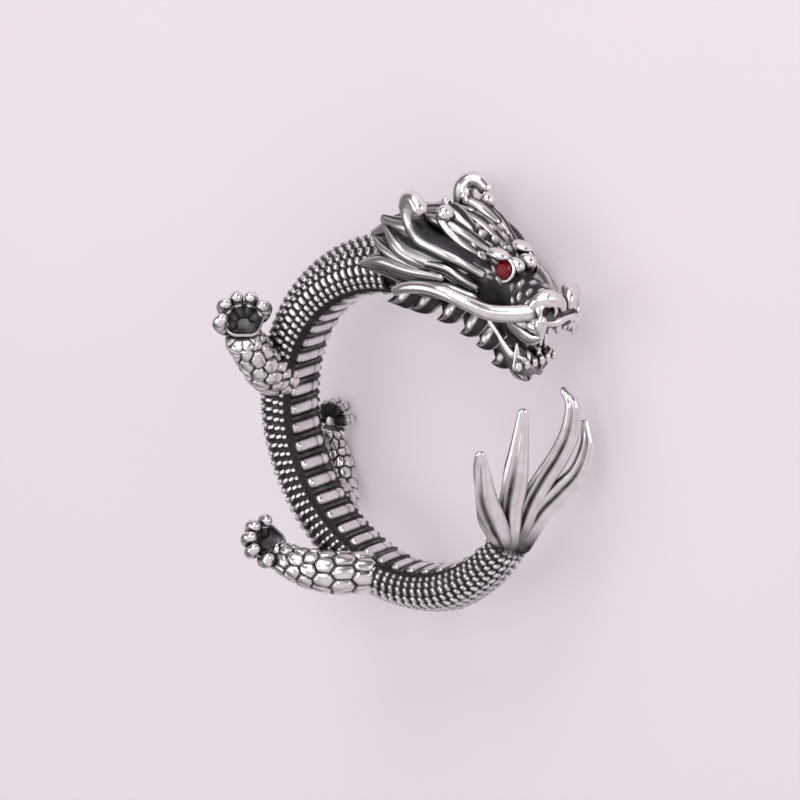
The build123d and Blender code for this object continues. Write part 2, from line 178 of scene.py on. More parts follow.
def ease(x, low, high):
    """0 at low, 1 at high, smooth between them."""
    t = np.clip((x - low) / (high - low), 0, 1)
    return t * t * (3 - 2 * t)


def band(x, low, full, still, gone):
    """0 up to low, 1 from full to still, and 0 again from gone."""
    return ease(x, low, full) * ease(x, gone, still)


def bell(x, width):
    """1 where x is 0, falling away smoothly on both sides."""
    return np.exp(-(x / width) ** 2)


def wave(angle):
    """Between 0 and 1, and 1 at every whole turn."""
    return 0.5 + 0.5 * np.cos(angle)


def extend(values, extra, behind):
    """Values with extra ones behind them or before them."""
    return np.concatenate([values, extra] if behind else [extra, values])


def skin(rings, dark, start=None, end=None):
    """A closed skin over rings of points, with the oxide at each."""
    count, sides = rings.shape[:2]
    start = rings[0].mean(axis=0) if start is None else start
    end = rings[-1].mean(axis=0) if end is None else end
    points = np.vstack([rings.reshape(-1, 3), start, end])
    shade = np.concatenate([dark.reshape(-1), [dark[0].mean(), dark[-1].mean()]])
    r, i = np.meshgrid(np.arange(count - 1), np.arange(sides), indexing="ij")
    j = (i + 1) % sides
    quads = np.stack([r * sides + i, r * sides + j, (r + 1) * sides + j, (r + 1) * sides + i], axis=-1)
    quads = quads.reshape(-1, 4)
    i = np.arange(sides)
    j = (i + 1) % sides
    top = (count - 1) * sides
    first, last = len(points) - 2, len(points) - 1
    caps = np.vstack([np.stack([j, i, 0 * i + first], axis=-1),
                      np.stack([top + i, top + j, 0 * i + last], axis=-1)])
    return points, quads, caps, shade


def mirrored(part):
    points, quads, caps, shade = part
    return points * (1, 1, -1), quads[:, ::-1], caps[:, ::-1], shade


def outward(part):
    """The same skin with its faces looking out."""
    points, quads, caps, shade = part
    tris = np.vstack([quads[:, [0, 1, 2]], quads[:, [0, 2, 3]], caps])
    a, b, c = (points[tris[:, k]] for k in range(3))
    if np.einsum("ij,ij->i", a, np.cross(b, c)).sum() < 0:
        return points, quads[:, ::-1], caps[:, ::-1], shade
    return part


def tube(path, wide, thick, facing, relief=None, sides=32, tip=1.0):
    """Bar of oval section with round ends. relief gives height and oxide from place and turn."""
    path = np.asarray(path, float)
    heading = unit(np.gradient(path, axis=0))
    side = unit(np.cross(np.broadcast_to(facing, path.shape), heading))
    up = np.cross(heading, side)
    u = np.linspace(0, 1, len(path))
    shrink = np.ones(len(path))
    angles = np.radians(np.linspace(90, 0, CAP_RINGS + 2)[1:-1])
    for at, sign in ((0, -1), (-1, 1)):
        behind = sign > 0
        angle = angles[::-1] if behind else angles
        out = sign * tip * thick[at] * np.sin(angle)[:, None]
        path = extend(path, path[at] + heading[at] * out, behind)
        shrink = extend(shrink, np.cos(angle), behind)
        heading, side, up, u, wide, thick = (
            extend(m, np.repeat(m[[at]], CAP_RINGS, axis=0), behind)
            for m in (heading, side, up, u, wide, thick))
    q = np.arange(sides) * 2 * math.pi / sides
    height, dark = relief(u[:, None], q[None, :]) if relief else (0.0, 0.0)
    height = (np.zeros((len(u), sides)) + height) * shrink[:, None]
    dark = np.zeros((len(u), sides)) + dark
    w, h = (wide * shrink)[:, None, None], (thick * shrink)[:, None, None]
    cos, sin = np.cos(q)[None, :, None], np.sin(q)[None, :, None]
    side, up = side[:, None, :], up[:, None, :]
    normal = unit(side * cos * thick[:, None, None] + up * sin * wide[:, None, None])
    rings = path[:, None, :] + side * cos * w + up * sin * h + normal * height[:, :, None]
    rest = tip * (1 - math.sin(angles[0]))
    first = path[0] - heading[0] * rest * thick[0]
    last = path[-1] + heading[-1] * rest * thick[-1]
    return outward(skin(rings, dark, first, last))


def ball(centre, radius, stretch=(1, 1, 1), axis=(0, 0, 1), sides=40, rows=24):
    """A ball stretched along two crossways directions and its axis."""
    axis = unit(axis)
    side = unit(np.cross(axis, OFF_AXIS))
    up = np.cross(axis, side)
    a = (math.pi * np.arange(1, rows) / rows)[:, None]
    b = (2 * math.pi * np.arange(sides) / sides)[None, :]
    local = (np.sin(a) * np.cos(b), np.sin(a) * np.sin(b), np.cos(a) + 0 * b)
    rings = centre + sum(radius * share * m[:, :, None] * way
                         for m, share, way in zip(local, stretch, (side, up, axis)))
    pole = axis * radius * stretch[2]
    return outward(skin(rings, 0 * a * b, centre + pole, centre - pole))


def piece(name, parts):
    """One shown mesh made of closed skins, standing for the cast band."""
    points, quads, caps, shade, base = [], [], [], [], 0
    for p, q, c, d in parts:
        points.append(p)
        quads.append(q + base)
        caps.append(c + base)
        shade.append(d)
        base += len(p)
    points = np.vstack(points)
    radius = np.hypot(points[:, 0], points[:, 1])
    points[:, :2] *= (np.maximum(radius, BORE_RADIUS) / radius)[:, None]
    quads = np.vstack(quads)
    caps = np.vstack(caps)
    mesh = bpy.data.meshes.new(name)
    mesh.vertices.add(len(points))
    mesh.vertices.foreach_set("co", (points * MM).ravel())
    loops = np.concatenate([quads.ravel(), caps.ravel()]).astype(np.int32)
    mesh.loops.add(len(loops))
    mesh.loops.foreach_set("vertex_index", loops)
    sizes = np.concatenate([np.full(len(quads), 4), np.full(len(caps), 3)])
    starts = np.concatenate([[0], np.cumsum(sizes)[:-1]]).astype(np.int32)
    mesh.polygons.add(len(sizes))
    mesh.polygons.foreach_set("loop_start", starts)
    mesh.update(calc_edges=True)
    mesh.validate()
    mesh.polygons.foreach_set("use_smooth", np.arange(len(mesh.polygons)) < len(quads))
    tone = mesh.attributes.new("oxide", "FLOAT", "POINT")
    tone.data.foreach_set("value", np.clip(np.concatenate(shade), 0, 1).astype(np.float32))
    obj = bpy.data.objects.new(name, mesh)
    bpy.context.scene.collection.objects.link(obj)
    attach(obj, "root")
    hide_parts("dragon_band")
    obj.data.materials.append(silver)


def belly_plates(plates, v):
    """Height of the belly plates: 0 in a groove, 1 on top of a plate."""
    phase = plates % 1 - 0.5
    reach = (1 - np.minimum(v, 2 - v)) / PLATE_HALF_WIDE
    bar = (np.abs(phase / PLATE_HALF_LONG) ** 3 + np.abs(reach) ** 5) ** 0.3
    bar = ease(bar, *PLATE_SLOPE)
    seam = bell(v - SEAM_PLACE, SEAM_WIDTH) * bar
    ridge = 0.5 * bell(np.abs(phase) - RIDGE_PLACE, RIDGE_WIDTH) * ease(np.abs(reach), 1.0, 0.7)
    return np.maximum(bar - 0.5 * seam, ridge)


def back_scales(plates, from_back):
    """Height of the rows of scales, each scale rising toward its end."""
    height = 0 * plates * from_back
    for row, (place, tall, long, slant, lift) in enumerate(SCALE_ROWS):
        b = (from_back - place) / tall
        a = (SCALES_PER_PLATE * plates + ROW_STAGGER * row + slant * b) % 1 - 0.5
        d = (np.abs(a / long) ** SCALE_SQUARE + np.abs(b) ** SCALE_SQUARE) ** (1 / SCALE_SQUARE)
        height = np.maximum(height, lift * ease(d, *SCALE_SLOPE) * (1 + SCALE_TILT * a))
    return height


def body_part(first, last):
    """Belly plates on the finger side and rows of scales round the back, from one plate to another."""
    outline = np.array(BODY_ROWS)
    plates = np.linspace(first, last, (last - first) * PLATE_STEPS + 1)[:, None]
    v = (np.arange(BODY_SIDES) * 2 / BODY_SIDES)[None, :]
    from_back = np.minimum(v, 2 - v)
    depth = BODY_DEPTH * np.interp(plates / PLATE_COUNT, outline[:, 0], outline[:, 1])
    half = 0.5 * BODY_WIDTH * np.interp(plates / PLATE_COUNT, outline[:, 0], outline[:, 2])
    cos, sin = np.cos(math.pi * v), np.sin(math.pi * v)
    sin = np.where(from_back > 0.5, np.sign(sin) * np.abs(sin) ** BELLY_SQUARE, sin)
    belly = ease(from_back, *BELLY_EDGE)
    across = np.sign(cos) * np.abs(cos) ** (1 - 0.5 * belly)
    plate = belly_plates(plates, v)
    scale = back_scales(plates, from_back)
    height = belly * PLATE_GROOVE * (plate - 1) + (1 - belly) * SCALE_HEIGHT * (scale - SCALE_SINK)
    top = plate * belly + np.clip(scale, 0, 1) * (1 - belly)
    radius = BORE_RADIUS + depth * (0.5 + 0.5 * across) + height * across
    angle = BODY_START + PLATE_PITCH * plates + 0 * v
    rings = polar(radius, angle, (half + height) * sin)
    return outward(skin(rings, 1 - ease(top, *WORN)))


def head_point(along, up, side):
    """A place on the head: shares of its length, height and half width, from the neck."""
    neck = BORE_RADIUS + 0.6 * BODY_DEPTH
    return np.stack([HEAD_LENGTH * along - NECK_BACK, neck + HEAD_HEIGHT * up,
                     0.5 * HEAD_WIDTH * side + 0 * along], axis=-1)


SKULL_ROWS = [
    # along, top, bottom, half width, place of the widest line
    (0.06, 0.34, -0.22, 0.68, 0.5),
    (0.16, 0.45, -0.21, 0.84, 0.5),
    (0.28, 0.55, -0.18, 0.94, 0.5),
    (0.42, 0.63, -0.17, 0.96, 0.5),
    (0.54, 0.60, -0.18, 0.94, 0.5),
    (0.62, 0.48, -0.17, 0.78, 0.5),
    (0.68, 0.35, -0.16, 0.60, 0.5),
    (0.74, 0.20, -0.20, 0.58, 0.4),
    (0.82, 0.08, -0.27, 0.66, 0.4),
    (0.89, 0.05, -0.26, 0.66, 0.4),
    (0.945, -0.04, -0.20, 0.40, 0.4),
]
SKULL_SIDES = 120
# Leaves lie over the forehead and bumps over the bridge of the nose: each fades in and out
# along the head, and down from the top of the skull
LEAF_PITCH = 0.042
LEAVES_ROUND = 9
LEAF_HALF_LONG = 0.52
LEAF_HALF_WIDE = 0.40
LEAF_HEIGHT = 0.16
LEAF_OXIDE = 0.95
LEAF_ZONE = (0.42, 0.48, 0.67, 0.71)
LEAF_SIDES = (0.46, 0.40)
BUMP_PITCH = 0.045
BUMPS_ROUND = 7
BUMP_HEIGHT = 0.15
BUMP_WORN = 0.85
BUMP_ZONE = (0.72, 0.76, 0.84, 0.88)
BUMP_SIDES = (0.5, 0.4)
# Oxide of the plain skull, what the muzzle loses of it and what its front has again
SKULL_OXIDE = 0.96
MUZZLE_WORN = 0.50
MUZZLE_ZONE = (0.80, 0.86)
FRONT_OXIDE = 0.38
FRONT_ZONE = (0.89, 0.925)


def skull_part():
    rows = spline(SKULL_ROWS, 110)
    along, top, bottom, half, widest = (rows[:, [k]] for k in range(5))
    a = (2 * math.pi * np.arange(SKULL_SIDES) / SKULL_SIDES)[None, :]
    cos, sin = np.cos(a), np.sin(a)
    middle = bottom + (top - bottom) * widest
    up = middle + np.where(cos > 0, top - middle, middle - bottom) * cos
    from_top = np.abs(np.where(a > math.pi, a - 2 * math.pi, a)) / math.pi
    row = along / LEAF_PITCH
    b = (from_top * LEAVES_ROUND + 0.5 * (np.floor(row) % 2)) % 1 - 0.5
    f = row % 1 - 0.5
    d = np.abs(b / (LEAF_HALF_WIDE * (1.05 + f))) ** 1.6 + np.abs(f / LEAF_HALF_LONG) ** 3
    leaf = ease(d, 1.0, 0.35) * (1 - 0.8 * f)
    zone = band(along, *LEAF_ZONE) * ease(from_top, *LEAF_SIDES)
    bumps = np.sin(along * 2 * math.pi / BUMP_PITCH) * np.cos(from_top * math.pi * BUMPS_ROUND)
    bumps = ease(bumps, 0.0, 0.9)
    bridge = band(along, *BUMP_ZONE) * ease(from_top, *BUMP_SIDES)
    height = LEAF_HEIGHT * leaf * zone + BUMP_HEIGHT * bumps * bridge
    plain = SKULL_OXIDE - MUZZLE_WORN * ease(along, *MUZZLE_ZONE) + FRONT_OXIDE * ease(along, *FRONT_ZONE)
    leafy = LEAF_OXIDE * (1 - ease(leaf, 0.5, 1.1))
    dark = plain + zone * (leafy - plain) - BUMP_WORN * bumps * bridge
    rings = head_point(along + 0 * a, up + height / HEAD_HEIGHT * cos, (half + height / 3) * sin)
    return outward(skin(rings, dark))


JAW_ROWS = [
    # along, up, half width, wall height
    (0.42, -0.12, 0.62, 0.10),
    (0.54, -0.20, 0.64, 0.12),
    (0.62, -0.34, 0.62, 0.12),
    (0.68, -0.50, 0.60, 0.12),
    (0.735, -0.62, 0.60, 0.13),
    (0.79, -0.665, 0.50, 0.12),
]
JAW_SECTION = [
    # across, up
    (-0.99, 0.85), (-0.93, 1.05), (-0.85, 1.0), (-0.76, 0.6), (-0.6, 0.15), (0.0, -0.05),
    (0.6, 0.15), (0.76, 0.6), (0.85, 1.0), (0.93, 1.05), (0.99, 0.85), (1.0, 0.0),
    (0.75, -0.65), (0.4, -0.9), (0.0, -0.95), (-0.4, -0.9), (-0.75, -0.65), (-1.0, 0.0),
]
JAW_SIDES = 90
JAW_OXIDE = 0.85
JAW_POINT = 0.35


def jaw_part():
    rows = spline(JAW_ROWS, 60)
    section = spline(JAW_SECTION + JAW_SECTION[:1], JAW_SIDES + 1)[:-1]
    middle = head_point(rows[:, 0], rows[:, 1], 0 * rows[:, 0])
    heading = unit(np.gradient(middle, axis=0))
    normal = np.cross((0, 0, 1), heading)
    wide = 0.5 * HEAD_WIDTH * rows[:, [2]]
    high = HEAD_HEIGHT * rows[:, [3]]
    across, up = section[None, :, 0], section[None, :, 1]
    rings = (middle[:, None, :] + normal[:, None, :] * (high * up)[:, :, None]
             + np.array((0, 0, 1.0)) * (wide * across)[:, :, None])
    dark = JAW_OXIDE * ease(up, 0.95, 0.55) + 0 * wide
    point = middle[-1] - 0.5 * high[-1] * normal[-1] + JAW_POINT * heading[-1]
    return outward(skin(rings, dark, None, point))


HORN_ROWS = [
    # along, up, side, thickness
    (0.63, 0.26, 0.60, 0.8),
    (0.55, 0.35, 0.88, 1.1),
    (0.46, 0.42, 1.00, 1.25),
    (0.37, 0.47, 0.98, 1.3),
    (0.31, 0.56, 0.90, 1.25),
    (0.285, 0.67, 0.90, 1.15),
    (0.278, 0.77, 0.95, 1.1),
    (0.298, 0.835, 1.03, 1.0),
    (0.335, 0.84, 1.10, 0.9),
    (0.363, 0.785, 1.14, 0.9),
]
ANTLER_ROWS = [
    (0.62, 0.30, 0.46, 1.1),
    (0.57, 0.39, 0.60, 1.2),
    (0.51, 0.49, 0.71, 1.2),
    (0.46, 0.58, 0.73, 1.15),
    (0.425, 0.67, 0.73, 1.2),
    (0.435, 0.73, 0.73, 1.4),
]
WHISKER_ROWS = [
    (0.89, -0.04, 0.30, 1.3),
    (0.80, -0.08, 0.50, 1.45),
    (0.72, -0.07, 0.70, 1.35),
    (0.64, 0.01, 0.86, 1.2),
    (0.55, 0.08, 0.96, 1.1),
    (0.46, 0.09, 0.99, 1.0),
    (0.37, 0.05, 1.00, 0.95),
    (0.31, -0.01, 0.98, 0.8),
]
# Locks of the mane, and below them the crest, chin and lips: along, up, side, width
LOCKS = {
    "ear": [
        (0.60, 0.06, 0.78, 0.5), (0.53, 0.16, 0.93, 0.6),
        (0.46, 0.22, 1.00, 0.5), (0.41, 0.23, 1.10, 0.4),
    ],
    "cheek": [
        (0.56, 0.24, 0.86, 0.9), (0.40, 0.28, 0.94, 1.4),
        (0.28, 0.33, 0.94, 1.4), (0.175, 0.45, 0.84, 0.45),
    ],
    "neck": [
        (0.44, 0.11, 0.90, 0.9), (0.29, 0.11, 0.95, 1.2),
        (0.16, 0.13, 0.96, 1.0), (0.04, 0.07, 0.97, 0.35),
    ],
    "throat": [
        (0.44, 0.00, 0.72, 0.8), (0.33, -0.06, 0.72, 0.95),
        (0.20, -0.11, 0.62, 0.8), (0.10, -0.16, 0.45, 0.3),
    ],
}
# Finer locks that lie on the mane and down the back of the neck
EXTRA_LOCKS = {
    "crown": [
        (0.52, 0.56, 0.42, 0.8), (0.45, 0.64, 0.38, 1.1),
        (0.39, 0.71, 0.33, 0.9), (0.375, 0.78, 0.30, 0.45),
    ],
    "tress": [
        (0.60, 0.42, 0.42, 0.6), (0.50, 0.56, 0.62, 0.8),
        (0.40, 0.62, 0.66, 0.9), (0.31, 0.62, 0.62, 0.6),
    ],
    "leaf": [
        (0.46, 0.22, 0.98, 0.6), (0.32, 0.25, 1.04, 0.9),
        (0.23, 0.34, 1.02, 0.9), (0.15, 0.48, 0.90, 0.25),
    ],
    "leaf_low": [
        (0.36, 0.17, 1.02, 0.6), (0.24, 0.22, 1.04, 0.7),
        (0.15, 0.28, 0.98, 0.6), (0.09, 0.36, 0.90, 0.2),
    ],
    "wing": [
        (0.46, 0.13, 1.00, 0.5), (0.30, 0.13, 1.06, 0.8),
        (0.16, 0.15, 1.04, 0.8), (0.04, 0.08, 0.98, 0.3),
    ],
    "nape": [
        (0.36, 0.46, 0.74, 0.9), (0.26, 0.49, 0.76, 1.0),
        (0.18, 0.50, 0.74, 0.8), (0.11, 0.53, 0.70, 0.4),
    ],
    "ridge": [
        (0.44, 0.62, 0.16, 0.9), (0.31, 0.60, 0.18, 1.1),
        (0.17, 0.50, 0.20, 1.0), (0.05, 0.40, 0.18, 0.35),
    ],
    "collar": [
        (0.40, 0.57, 0.48, 0.9), (0.27, 0.54, 0.50, 1.1),
        (0.14, 0.45, 0.52, 1.0), (0.03, 0.33, 0.52, 0.35),
    ],
    "curl": [
        (0.62, 0.11, 0.93, 0.35), (0.56, 0.18, 1.02, 0.5),
        (0.50, 0.25, 1.08, 0.5), (0.40, 0.26, 1.12, 0.45),
    ],
    "temple": [
        (0.64, 0.24, 0.84, 0.5), (0.56, 0.33, 1.00, 0.6),
        (0.44, 0.40, 1.08, 0.6), (0.34, 0.44, 1.08, 0.3),
    ],
    "jowl": [
        (0.60, -0.02, 0.86, 0.7), (0.50, 0.02, 0.92, 0.9),
        (0.36, 0.00, 0.94, 0.9), (0.22, -0.06, 0.86, 0.5),
    ],
}
CREST_ROWS = [
    (0.62, 0.40, 0.0, 0.8), (0.50, 0.56, 0.0, 1.0),
    (0.38, 0.62, 0.0, 0.9), (0.33, 0.70, 0.0, 0.5),
]
CHIN_TUFT = [
    [(0.69, -0.62, 0.0, 0.9), (0.73, -0.72, 0.0, 0.95), (0.745, -0.80, 0.0, 0.6)],
    [(0.71, -0.62, 0.22, 0.6), (0.74, -0.72, 0.26, 0.6), (0.77, -0.77, 0.28, 0.35)],
    [(0.71, -0.62, -0.22, 0.6), (0.74, -0.72, -0.26, 0.6), (0.77, -0.77, -0.28, 0.35)],
]
LIP_FOLD = [
    (0.72, -0.08, 0.62, 0.6), (0.78, -0.21, 0.70, 1.0),
    (0.86, -0.31, 0.68, 1.0), (0.90, -0.30, 0.62, 0.6),
]
FRONT_LIP = [
    (0.915, -0.15, 0.50, 0.8),
    (0.940, -0.14, 0.26, 1.0),
    (0.950, -0.12, 0.00, 0.7),
    (0.940, -0.14, -0.26, 1.0),
    (0.915, -0.15, -0.50, 0.8),
]
LIP_FOLD_THICKNESS = 0.36
FRONT_LIP_THICKNESS = 0.30

BEARD_ROWS = [
    # root along, root up, tip along, tip up, side
    (0.26, -0.07, 0.15, -0.29, 0.75),
    (0.365, -0.07, 0.275, -0.29, 0.76),
    (0.49, -0.10, 0.42, -0.33, 0.76),
    (0.59, -0.19, 0.53, -0.42, 0.70),
    (0.65, -0.34, 0.60, -0.51, 0.62),
    (0.71, -0.52, 0.66, -0.67, 0.50),
]
BEARD_BEND = [
    # share of the way along, share of the way up, shift along, share of the side, width
    (0.00, 0.00, 0.00, 0.70, 1.35),
    (0.25, 0.50, 0.00, 1.00, 1.15),
    (0.65, 0.82, 0.00, 1.02, 0.55),
    (1.00, 1.00, -0.02, 1.02, 0.07),
]
# Rounded forms of the face: stretched along the head, up and across
BROW_PLACE = (0.66, 0.375, 0.40)
BROW_SHIFT = (-0.1, 0.2, 0.0)
BROW_STRETCH = (1.4, 0.56, 0.9)
BRIDGE_PLACE = (0.715, 0.30, 0.20)
BRIDGE_STRETCH = (1.25, 0.9, 0.8)
LIP_PLACES = [(0.81, -0.18, 0.60), (0.87, -0.19, 0.58)]
LIP_SHARE = 0.6
LIP_STRETCH = (1.45, 0.9, 0.8)
DROP_PLACE = (0.905, -0.16, 0.60)
DROP_RADIUS = 0.52
DROP_STRETCH = (0.8, 0.9, 1.35)
DROP_AXIS = (0.25, 1.0, 0.0)
# The eye's bezel rim
EYE_PLACE = (0.69, 0.265, 0.44)
EYE_HEADING = (0.18, 0.28, 0.94)
RIM_WIDTH = 0.12
RIM_THICKNESS = 0.10
# The nose, its nostril and the arch over it. Below its middle the nostril reaches further.
NOSE_PLACE = (0.89, -0.03, 0.36)
NOSTRIL_PLACE = (0.93, -0.03, 0.50)
NOSTRIL_HEADING = (0.75, -0.15, 0.65)
NOSTRIL_EDGE = (0.46, 0.30)
NOSTRIL_DEPTH = 0.65
NOSTRIL_DROP = 0.6
ARCH_SINK = 0.60
ARCH_RADII = (0.972, 0.648)
ARCH_THICKNESS = (0.300, 0.675, 0.300)
FANG_PLACES = [
    # along, up, side, length share, pointing up (1) or down (-1)
    (0.90, -0.22, 0.56, 1.0, -1),
    (0.935, -0.20, 0.20, 0.5, -1),
    (0.77, -0.56, 0.50, 1.0, 1),
    (0.785, -0.61, 0.18, 0.6, 1),
]
SMALL_TEETH = [
    # along, how far back toward the side, up, length share, pointing up (1) or down (-1)
    (0.925, 0.03, -0.23, 0.24, -1),
    (0.808, 0.02, -0.61, 0.28, 1),
]
SMALL_TEETH_SIDES = (0.12, 0.36, 0.60)
# A fang runs between these shares of its length from its root
FANG_ENDS = (-0.6, 0.9)
FANG_LEAN = 0.25
FANG_CURL = 0.12


def ridges(count, depth, turn=0.0, dark=0.8, base=0.0):
    """Lengthwise ridges with dark valleys between them and fine hair on them, fading at both ends."""
    def relief(u, q):
        ridge = wave(count * q + turn)
        strength = 1 - u ** 8 - (1 - u) ** 8
        hair = wave(3 * count * q + turn + 4 * u)
        height = depth * strength * (ridge - 0.5) + 0.02 * strength * hair
        tone = base + (dark - base) * ease(ridge, 0.62, 0.1) - 0.7 * base * ease(ridge, 0.85, 1.0)
        return height, tone + 0.12 * strength * (1 - hair)
    return relief


def leaf_relief(u, q):
    """Leaf with a bright keel and edges over dark sides."""
    keel = np.abs(np.sin(2 * q))
    return 0.10 * (1 - keel) * (1 - u ** 4) - 0.05, 0.92 * ease(keel, 0.25, 0.75) + 0.25 * (1 - u)


def whisker_relief(u, q):
    """Polished bar with one soft groove below its crest and a dark root."""
    groove = bell(q - math.radians(195), 0.20)
    return -0.06 * groove + 0 * u, np.maximum(0.55 * groove, ease(u, 0.06, 0.02))


def horn_relief(u, q):
    """Polished curl over a dark, softly ridged stem."""
    stem = ease(u, 0.72, 0.45)
    ridge = wave(3 * q + 1.2)
    return 0.07 * stem * (ridge - 0.5), stem * (1.0 - ease(ridge, 0.60, 0.95))


def head_strand(rows, size, count, relief=None, flat=1.0, spread=0.5 * HEAD_WIDTH, sides=32, tip=1.0):
    """Bar along the head through rows of along, up, side and width."""
    rows = spline(rows, count)
    path = head_point(rows[:, 0], rows[:, 1], 0 * rows[:, 0])
    path[:, 2] = spread * rows[:, 2]
    wide = size * rows[:, 3]
    return tube(path, wide, wide * flat, (0.0, 0.0, 1.0), relief, sides, tip)


def fang_part(along, up, side, length, way):
    root = head_point(along, up, side)
    steps = np.linspace(*FANG_ENDS, 14)
    bend = np.array([FANG_LEAN, way, 0.0])
    path = root + bend * FANG_LENGTH * length * steps[:, None]
    path[:, 0] -= FANG_CURL * (steps - FANG_ENDS[0]) ** 2
    wide = TOOTH_WIDTH * np.interp(steps, (FANG_ENDS[0], 0.3, FANG_ENDS[1]), (1.1, 1.0, 0.3))
    return tube(path, wide, wide, (0.0, 0.0, 1.0), None, 20)


def beard_hook(root_along, root_up, tip_along, tip_up, side):
    rows = []
    for ahead, down, shift, out, width in BEARD_BEND:
        along = root_along + (tip_along - root_along) * ahead + shift
        rows.append((along, root_up + (tip_up - root_up) * down, side * out, width))
    return head_strand(rows, BEARD_WIDTH, 36, leaf_relief, flat=0.5, tip=0.6)


def nose_part():
    centre = head_point(*NOSE_PLACE)
    heading = unit(NOSTRIL_HEADING)
    points, quads, caps, shade = ball(centre, NOSE_RADIUS, axis=heading, sides=72, rows=48)
    away = points - head_point(*NOSTRIL_PLACE)
    off = away - (away @ heading)[:, None] * heading
    fall = off[:, 1] * np.where(off[:, 1] < 0, NOSTRIL_DROP, 1.0)
    off = np.hypot(np.hypot(off[:, 0], off[:, 2]), fall)
    front = ((points - centre) @ heading) > 0
    inside = ease(off, *NOSTRIL_EDGE) * front
    points = points - heading * NOSTRIL_DEPTH * inside[:, None]
    return points, quads, caps, np.maximum(shade, inside)


def hoop(centre, heading, radii, span, steps):
    """Points round an oval that faces a heading, from its side over its top."""
    side = unit(np.cross((0, 1, 0), heading))
    up = np.cross(heading, side)
    turn = np.radians(np.linspace(0, span, steps))[:, None]
    return centre + radii[0] * np.cos(turn) * side + radii[1] * np.sin(turn) * up


def eye_rim():
    heading = unit(EYE_HEADING)
    radius = STONE_RADIUS + STONE_GAP + 0.5 * BEZEL_WALL
    path = hoop(head_point(*EYE_PLACE), heading, (radius, radius), 360, 49)
    return tube(path, np.full(49, RIM_WIDTH), np.full(49, RIM_THICKNESS), heading, None, 16)


def nostril_arch():
    heading = unit(NOSTRIL_HEADING)
    path = hoop(head_point(*NOSTRIL_PLACE) - ARCH_SINK * heading, heading, ARCH_RADII, 180, 40)
    thick = np.interp(np.linspace(0, 1, 40), (0, 0.5, 1), ARCH_THICKNESS)
    return tube(path, thick, thick, heading, None, 24)


def front_lip():
    rows = spline(FRONT_LIP, 40)
    wide = FRONT_LIP_THICKNESS * rows[:, 3]
    return tube(head_point(rows[:, 0], rows[:, 1], rows[:, 2]), wide, wide, (0.0, 1.0, 0.0))


def head_parts():
    near = [
        head_strand(WHISKER_ROWS, WHISKER_THICKNESS, 90, whisker_relief, spread=WHISKER_REACH, sides=40),
        nose_part(),
        ball(head_point(*BROW_PLACE) + BROW_SHIFT, BROW_RADIUS, BROW_STRETCH),
        ball(head_point(*BRIDGE_PLACE), BRIDGE_RADIUS, BRIDGE_STRETCH),
    ]
    near += [ball(head_point(*place), LIP_SHARE * NOSE_RADIUS, LIP_STRETCH) for place in LIP_PLACES]
    near += [fang_part(*row) for row in FANG_PLACES]
    near += [beard_hook(*row) for row in BEARD_ROWS]
    near += [eye_rim(), nostril_arch()]
    near.append(ball(head_point(*DROP_PLACE), DROP_RADIUS, DROP_STRETCH, DROP_AXIS))
    near.append(head_strand(LIP_FOLD, LIP_FOLD_THICKNESS, 30, ridges(2, 0.05, 0.0, 0.7, 0.1), flat=0.8))
    for side in SMALL_TEETH_SIDES:
        for along, back, up, length, way in SMALL_TEETH:
            near.append(fang_part(along - back * side, up, side, length, way))
    parts = [skull_part(), jaw_part(), front_lip()]
    for rows in CHIN_TUFT:
        parts.append(head_strand(rows, LOCK_WIDTH, 30, ridges(5, 0.14, 0.0, 0.9, 0.3), flat=0.8))
    return parts + near + [mirrored(part) for part in near]


def mane_parts():
    near = [
        head_strand(HORN_ROWS, HORN_THICKNESS, 100, horn_relief, sides=48, tip=1.1),
        head_strand(ANTLER_ROWS, ANTLER_THICKNESS, 70, ridges(3, 0.06, 1.0, 0.8, 0.1)),
        ball(head_point(*ANTLER_ROWS[-1][:3]), ANTLER_KNOB),
    ]
    for rows in LOCKS.values():
        near.append(head_strand(rows, LOCK_WIDTH, 60, ridges(4, 0.24, 0.0, 1.0, 0.35), flat=0.6, sides=60))
    for rows in EXTRA_LOCKS.values():
        near.append(head_strand(rows, LOCK_WIDTH, 42, ridges(3, 0.18, 0.6, 1.0, 0.20), flat=0.7, sides=36))
    near.append(ball(head_point(*EXTRA_LOCKS["crown"][-1][:3]), CROWN_KNOB))
    crest = head_strand(CREST_ROWS, LOCK_WIDTH, 50, ridges(5, 0.14, 0.0, 0.95, 0.45), sides=48)
    return [crest] + near + [mirrored(part) for part in near]


BLADES = {
    "near": [
        # along, up, side, width
        (0.00, -0.03, 0.08, 0.8),
        (0.03, 0.18, 0.50, 1.1),
        (0.05, 0.33, 0.75, 1.05),
        (0.08, 0.48, 0.91, 0.8),
        (0.10, 0.62, 1.00, 0.42),
    ],
    "middle": [
        (0.01, -0.04, 0.03, 0.9),
        (0.04, 0.20, 0.14, 1.1),
        (0.09, 0.39, 0.18, 1.1),
        (0.13, 0.58, 0.20, 0.8),
        (0.16, 0.81, 0.20, 0.42),
    ],
    "far": [
        (0.04, -0.02, -0.05, 0.9),
        (0.09, 0.21, -0.18, 1.0),
        (0.15, 0.36, -0.30, 0.9),
        (0.24, 0.52, -0.39, 0.85),
        (0.30, 0.67, -0.45, 0.8),
        (0.31, 0.82, -0.47, 0.6),
        (0.24, 0.90, -0.48, 0.3),
    ],
    "rear": [
        (0.06, -0.02, -0.10, 0.8),
        (0.14, 0.17, -0.30, 0.9),
        (0.23, 0.30, -0.50, 0.95),
        (0.31, 0.42, -0.64, 0.8),
        (0.34, 0.57, -0.73, 0.6),
        (0.31, 0.70, -0.77, 0.3),
    ],
}
